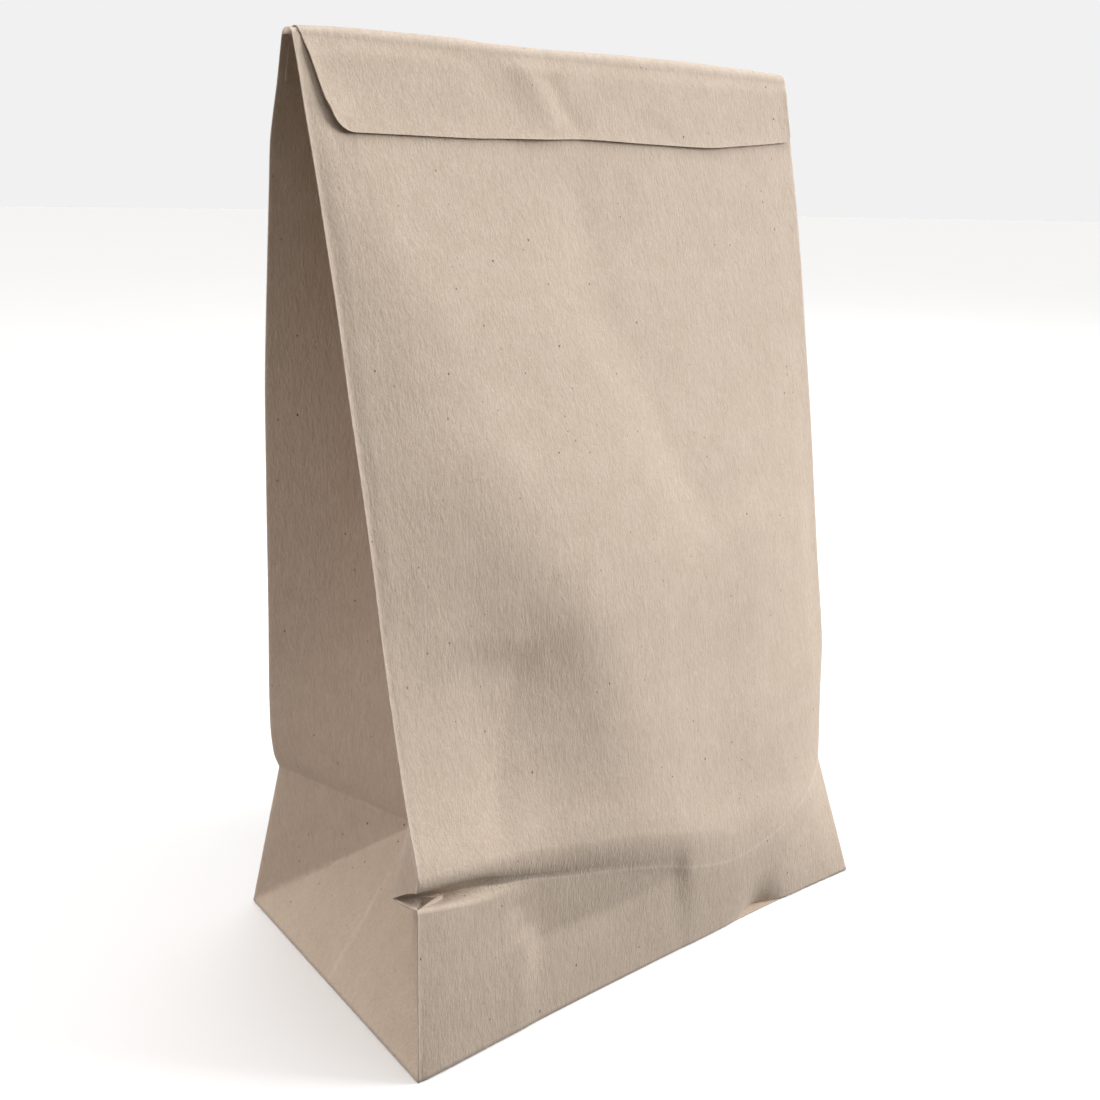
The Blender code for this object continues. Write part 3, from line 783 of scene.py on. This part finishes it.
def flap_place(s, t, top_z):
    """The flap's left and right ends and its height at share t of the way down."""
    left_z = top_z + (float(curve(FLAP_BOTTOM, -64)) - top_z) * t
    drop = top_z - left_z
    whole = top_z - float(curve(FLAP_BOTTOM, -64))
    left = float(curve(FLAP_LEFT, left_z)) + corner_inset(drop, whole, FLAP_LEFT_RADIUS)
    right_z = top_z + (float(curve(FLAP_BOTTOM, 74)) - top_z) * t
    drop = top_z - right_z
    whole = top_z - float(curve(FLAP_BOTTOM, 74))
    right = float(curve(FLAP_RIGHT, right_z)) - corner_inset(drop, whole, FLAP_RIGHT_RADIUS)
    x = left + (right - left) * s
    return left, right, top_z + (float(curve(FLAP_BOTTOM, x)) - top_z) * t


def corner_inset(drop, whole, radius):
    into = max(0.0, drop - (whole - radius))
    return radius - math.sqrt(max(0.0, radius**2 - into**2))


def build_base_flap(name, facing, bottom, material):
    """A trapezium flap of the bottom: the long edge, then 45 degree ends to its free edge."""
    xs = np.linspace(-HALF_WIDTH + 0.5, HALF_WIDTH - 0.5, 80)
    if facing < 0:
        edge = [(x, float(curve(BASE_Y, x)) + 0.5) for x in xs]
    else:
        edge = [(x, HALF_DEPTH - 0.5) for x in xs]
    reach = HALF_DEPTH + 10.0
    outline = edge + [(HALF_WIDTH - reach, -facing * 10.0), (reach - HALF_WIDTH, -facing * 10.0)]
    count = len(outline)
    points = [(x, y, bottom) for x, y in outline] + [(x, y, bottom + 0.3) for x, y in outline]
    faces = [tuple(range(count))[:: 1 if facing > 0 else -1], tuple(range(count, 2 * count))[:: -1 if facing > 0 else 1]]
    for i in range(count):
        j = (i + 1) % count
        face = (i, j, count + j, count + i)
        faces.append(face if facing < 0 else face[::-1])
    flap = mesh_object(name, points, faces, [0.0] * len(points), material)
    flap.data.polygons.foreach_set("use_smooth", [False] * len(flap.data.polygons))
    return flap


class Graph:
    """A material's nodes, added one by one."""

    def __init__(self, name):
        self.material = bpy.data.materials.new(name)
        self.material.use_nodes = True
        self.tree = self.material.node_tree
        self.shader = self.tree.nodes["Principled BSDF"]

    def add(self, kind, settings=(), **inputs):
        node = self.tree.nodes.new(kind)
        for key, value in dict(settings).items():
            setattr(node, key, value)
        for key, value in inputs.items():
            self.feed(node, key.replace("_", " "), value)
        return node

    def feed(self, node, socket, value):
        target = node.inputs[int(socket)] if str(socket).isdigit() else node.inputs[socket]
        if isinstance(value, bpy.types.NodeSocket):
            self.tree.links.new(value, target)
        else:
            target.default_value = value

    def math(self, operation, a, b=0.0, c=None, clamp=False):
        node = self.add("ShaderNodeMath", {"operation": operation, "use_clamp": clamp})
        self.feed(node, 0, a)
        self.feed(node, 1, b)
        if c is not None:
            self.feed(node, 2, c)
        return node.outputs[0]

    def remap(self, value, low, high, to_low=0.0, to_high=1.0):
        node = self.add("ShaderNodeMapRange", {"interpolation_type": "SMOOTHSTEP"})
        for socket, entry in zip(range(5), (value, low, high, to_low, to_high)):
            self.feed(node, socket, entry)
        return node.outputs[0]

    def blend(self, factor, a, b, kind="MIX"):
        node = self.add("ShaderNodeMix", {"data_type": "RGBA", "blend_type": kind})
        self.feed(node, 0, factor)
        self.feed(node, 6, a)
        self.feed(node, 7, b)
        return node.outputs[2]

    def noise(self, vector, scale, detail=3.0, roughness=0.6, distortion=0.0):
        node = self.add("ShaderNodeTexNoise", {"noise_dimensions": "3D"}, Scale=scale, Detail=detail)
        self.feed(node, "Vector", vector)
        self.feed(node, "Roughness", roughness)
        self.feed(node, "Distortion", distortion)
        return node.outputs["Fac"]

    def stretch(self, vector, scale, turn=(0.0, 0.0, 0.0)):
        node = self.add("ShaderNodeMapping", Vector=vector, Scale=scale, Rotation=turn)
        return node.outputs[0]


def kraft_paper():
    """Kraft paper: cloudy sheet, upright fibres, dark flecks, and lighter folds and edges that are partly crease
    wear and partly painted highlight.
    """
    g = Graph("kraft_paper")
    place = g.add("ShaderNodeTexCoord").outputs["Object"]
    upright = g.stretch(place, (1.0, 1.0, 0.32))
    cloud = g.noise(place, 130, 3.0, 0.55)
    clumps = g.noise(upright, 620, 3.0, 0.6)
    fibres = g.noise(g.stretch(place, (1.0, 1.0, 0.26)), 1900, 3.0, 0.6, 0.4)
    grain = g.noise(place, 3600, 2.0, 0.6)

    tone = g.math("MULTIPLY_ADD", g.math("SUBTRACT", cloud, 0.5), 0.30, 0.5)
    tone = g.math("MULTIPLY_ADD", g.math("SUBTRACT", clumps, 0.5), 0.25, tone)
    tone = g.math("MULTIPLY_ADD", g.math("SUBTRACT", fibres, 0.5), 0.75, tone)
    tone = g.math("MULTIPLY_ADD", g.math("SUBTRACT", grain, 0.5), 0.45, tone, clamp=True)
    colour = g.blend(tone, (0.385, 0.290, 0.212, 1), (0.640, 0.540, 0.445, 1))

    flecks = g.add("ShaderNodeTexVoronoi", {"feature": "F1"}, Scale=520.0, Randomness=1.0)
    g.feed(flecks, "Vector", g.stretch(place, (1.0, 1.0, 0.7)))
    chosen = g.add("ShaderNodeSeparateColor", Color=flecks.outputs["Color"])
    size = g.remap(chosen.outputs[0], 0.66, 1.0, 0.0, 0.13)
    fleck = g.math("LESS_THAN", flecks.outputs["Distance"], size)
    fleck = g.math("MULTIPLY", fleck, g.remap(chosen.outputs[1], 0.0, 1.0, 0.35, 0.85))
    colour = g.blend(fleck, colour, (0.075, 0.042, 0.024, 1))

    # Folds, creases, the ridge and the bottom edge are painted lighter: partly crease wear, partly painted
    # highlight.
    crease = g.add("ShaderNodeAttribute", {"attribute_name": "crease"}).outputs["Fac"]
    worn_and_highlight = g.math("MULTIPLY", crease, g.remap(clumps, 0.3, 0.7, 0.35, 0.9))
    colour = g.blend(g.math("MULTIPLY", worn_and_highlight, 0.55), colour, (0.72, 0.63, 0.54, 1))

    g.feed(g.shader, "Base Color", colour)
    g.feed(g.shader, "Roughness", g.remap(fibres, 0.2, 0.8, 0.68, 0.9))
    g.feed(g.shader, "Specular IOR Level", 0.28)
    g.feed(g.shader, "Sheen Weight", 0.12)
    g.feed(g.shader, "Sheen Roughness", 0.6)

    height = g.math("MULTIPLY_ADD", fibres, 0.8, g.math("MULTIPLY", grain, 0.35))
    height = g.math("MULTIPLY_ADD", clumps, 0.9, height)
    bump = g.add("ShaderNodeBump", Strength=1.0, Distance=0.00016)
    g.feed(bump, "Height", height)
    g.feed(g.shader, "Normal", bump.outputs[0])
    return g.material


def floor_material():
    g = Graph("studio_floor")
    place = g.add("ShaderNodeTexCoord").outputs["Object"]
    tone = g.noise(place, 9, 3.0, 0.5)
    g.feed(g.shader, "Base Color", g.blend(tone, (0.93, 0.93, 0.93, 1), (0.96, 0.96, 0.96, 1)))
    g.feed(g.shader, "Roughness", 0.6)
    return g.material


def add_floor():
    bpy.ops.mesh.primitive_plane_add(size=40.0, location=(0, 0, 0))
    floor = bpy.context.object
    floor.name = "studio_floor"
    floor.data.materials.append(floor_material())
    floor.visible_diffuse = False


def add_backdrop():
    """A pale dome round the stage, which only the camera sees: it adds no light."""
    bpy.ops.mesh.primitive_uv_sphere_add(segments=64, ring_count=32, radius=18.0)
    dome = bpy.context.object
    dome.name = "backdrop"
    g = Graph("backdrop")
    g.feed(g.shader, "Base Color", (0.0, 0.0, 0.0, 1))
    g.feed(g.shader, "Specular IOR Level", 0.0)
    g.feed(g.shader, "Emission Color", (0.88, 0.88, 0.88, 1))
    g.feed(g.shader, "Emission Strength", 1.0)
    dome.data.materials.append(g.material)
    dome.visible_diffuse = False
    dome.visible_glossy = False
    dome.visible_transmission = False
    dome.visible_shadow = False


def aim(place, target):
    return (Vector(target) - Vector(place)).to_track_quat("-Z", "Y").to_euler()


def add_area_light(name, place, target, size, power, colour):
    data = bpy.data.lights.new(name, "AREA")
    data.shape = "RECTANGLE"
    data.size, data.size_y = size
    data.energy = power
    data.color = colour
    light = bpy.data.objects.new(name, data)
    light.location = place
    light.rotation_euler = aim(place, target)
    light.visible_camera = False
    bpy.context.scene.collection.objects.link(light)


def add_lights():
    add_area_light("key", (1.10, -0.75, 0.62), (0, 0, 0.11), (0.7, 0.7), 25.0, (0.985, 0.99, 1.0))
    add_area_light("fill", (-1.0, 0.25, 0.13), (0, 0, 0.09), (0.5, 0.24), 4.0, (1.0, 0.90, 0.86))
    data = bpy.data.lights.new("ceiling", "SUN")
    data.energy = 2.9
    data.angle = 1.3
    ceiling = bpy.data.objects.new("ceiling", data)
    bpy.context.scene.collection.objects.link(ceiling)
    world = bpy.data.worlds.new("soft_studio")
    world.use_nodes = True
    world.node_tree.nodes["Background"].inputs["Color"].default_value = (1.0, 0.95, 0.90, 1)
    world.node_tree.nodes["Background"].inputs["Strength"].default_value = 0.16
    bpy.context.scene.world = world


def add_camera():
    """The photograph's viewpoint, from the bag's corners in the picture."""
    yaw, pitch, roll = 0.656024, 0.261922, 0.014197
    data = bpy.data.cameras.new("camera")
    data.sensor_width = 36.0
    data.lens = 1183.14 / 1100 * 36.0
    data.shift_y = (516.2945 - 550.0) / 1100
    data.clip_start = 0.01
    data.clip_end = 50.0
    forward = Vector((math.sin(yaw) * math.cos(pitch), math.cos(yaw) * math.cos(pitch), -math.sin(pitch)))
    right = Vector((math.cos(yaw), -math.sin(yaw), 0.0))
    up = right.cross(forward)
    camera_x = right * math.cos(roll) + up * math.sin(roll)
    camera_y = up * math.cos(roll) - right * math.sin(roll)
    turn = Matrix((camera_x, camera_y, -forward)).transposed()
    camera = bpy.data.objects.new("camera", data)
    camera.matrix_world = Matrix.Translation((-0.1927787, -0.2438278, 0.1966692)) @ turn.to_4x4()
    bpy.context.scene.collection.objects.link(camera)
    bpy.context.scene.camera = camera


def main():
    paper = kraft_paper()
    bag, front, back = build_bag(paper)
    flap = build_flap(paper, front, back)
    pieces = [bag, flap]
    pieces.append(build_base_flap("rear_base_flap", 1, 0.15, paper))
    pieces.append(build_base_flap("front_base_flap", -1, 0.0, paper))
    for piece in pieces:
        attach(piece, "root")
        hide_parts("paper_bag")
    add_floor()
    add_backdrop()
    add_lights()
    add_camera()
    scene = bpy.context.scene
    scene.view_settings.view_transform = "Standard"
    scene.view_settings.look = "None"


main()
